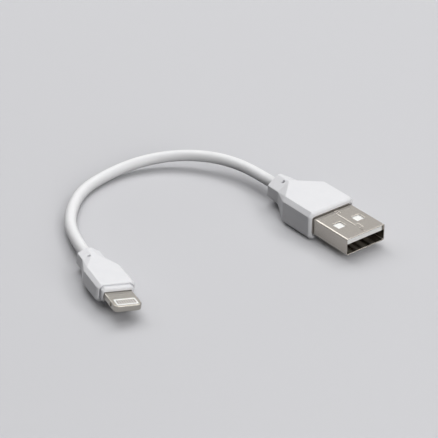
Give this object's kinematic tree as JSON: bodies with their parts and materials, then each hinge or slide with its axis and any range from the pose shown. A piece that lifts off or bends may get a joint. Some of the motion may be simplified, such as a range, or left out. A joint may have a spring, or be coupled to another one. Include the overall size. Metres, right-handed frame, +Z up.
{
  "type": "charging cable",
  "caption": "Short white charging cable with a type-A plug in a faceted housing at one end and a thin reversible phone plug at the other.",
  "frame": {"origin": "on the flat underside of the type-A plug's housing, below the plug's axis, where the cable rests on the table", "axes": "+Z up from the table; +X out of the type-A plug's mouth along its axis; +Y across that plug, so the cable loops back on the -Y side"},
  "size_m": [0.0698, 0.071, 0.0076],
  "materials": {
    "cable_tpe": "smooth satin thermoplastic elastomer jacket",
    "tinned_copper": "tinned copper braid",
    "wire_red": "extruded insulation",
    "wire_green": "extruded insulation",
    "wire_white": "extruded insulation",
    "wire_black": "extruded insulation",
    "nickel_steel": "nickel-plated folded steel, lightly brushed",
    "gold_contact": "gold flash over copper alloy",
    "insulator_white": "moulded white insulator",
    "inner_polymer": "low-pressure moulded polyethylene",
    "housing_white": "moulded white plastic, satin gloss",
    "brushed_tip": "nickel-plated steel frame, brushed along its width",
    "circuit_board": "green solder mask",
    "chip_black": "moulded epoxy",
    "ceramic_tan": "fired ceramic"
  },
  "bodies": {
    "root": {"cable_jacket": "cable_tpe", "cable_shield": "tinned_copper", "wire_power": "wire_red", "wire_data_plus": "wire_green", "wire_data_minus": "wire_white", "wire_ground": "wire_black", "type_a_shell": "nickel_steel", "type_a_contact_power": "gold_contact", "type_a_contact_data_plus": "gold_contact", "type_a_contact_data_minus": "gold_contact", "type_a_contact_ground": "gold_contact", "type_a_insulator": "insulator_white", "type_a_inner_mould": "inner_polymer", "type_a_housing": "housing_white", "phone_tip_frame": "brushed_tip", "phone_board": "circuit_board", "phone_contact_carrier": "insulator_white", "phone_controller_chip": "chip_black", "phone_power_transistor": "chip_black", "phone_capacitor_1": "ceramic_tan", "phone_capacitor_2": "ceramic_tan", "phone_inner_mould": "inner_polymer", "phone_nose": "housing_white", "phone_housing": "housing_white", "phone_contact_top_1": "gold_contact", "phone_contact_top_2": "gold_contact", "phone_contact_top_3": "gold_contact", "phone_contact_top_4": "gold_contact", "phone_contact_top_5": "gold_contact", "phone_contact_top_6": "gold_contact", "phone_contact_top_7": "gold_contact", "phone_contact_top_8": "gold_contact", "phone_contact_bottom_1": "gold_contact", "phone_contact_bottom_2": "gold_contact", "phone_contact_bottom_3": "gold_contact", "phone_contact_bottom_4": "gold_contact", "phone_contact_bottom_5": "gold_contact", "phone_contact_bottom_6": "gold_contact", "phone_contact_bottom_7": "gold_contact", "phone_contact_bottom_8": "gold_contact"}
  },
  "joints": []
}
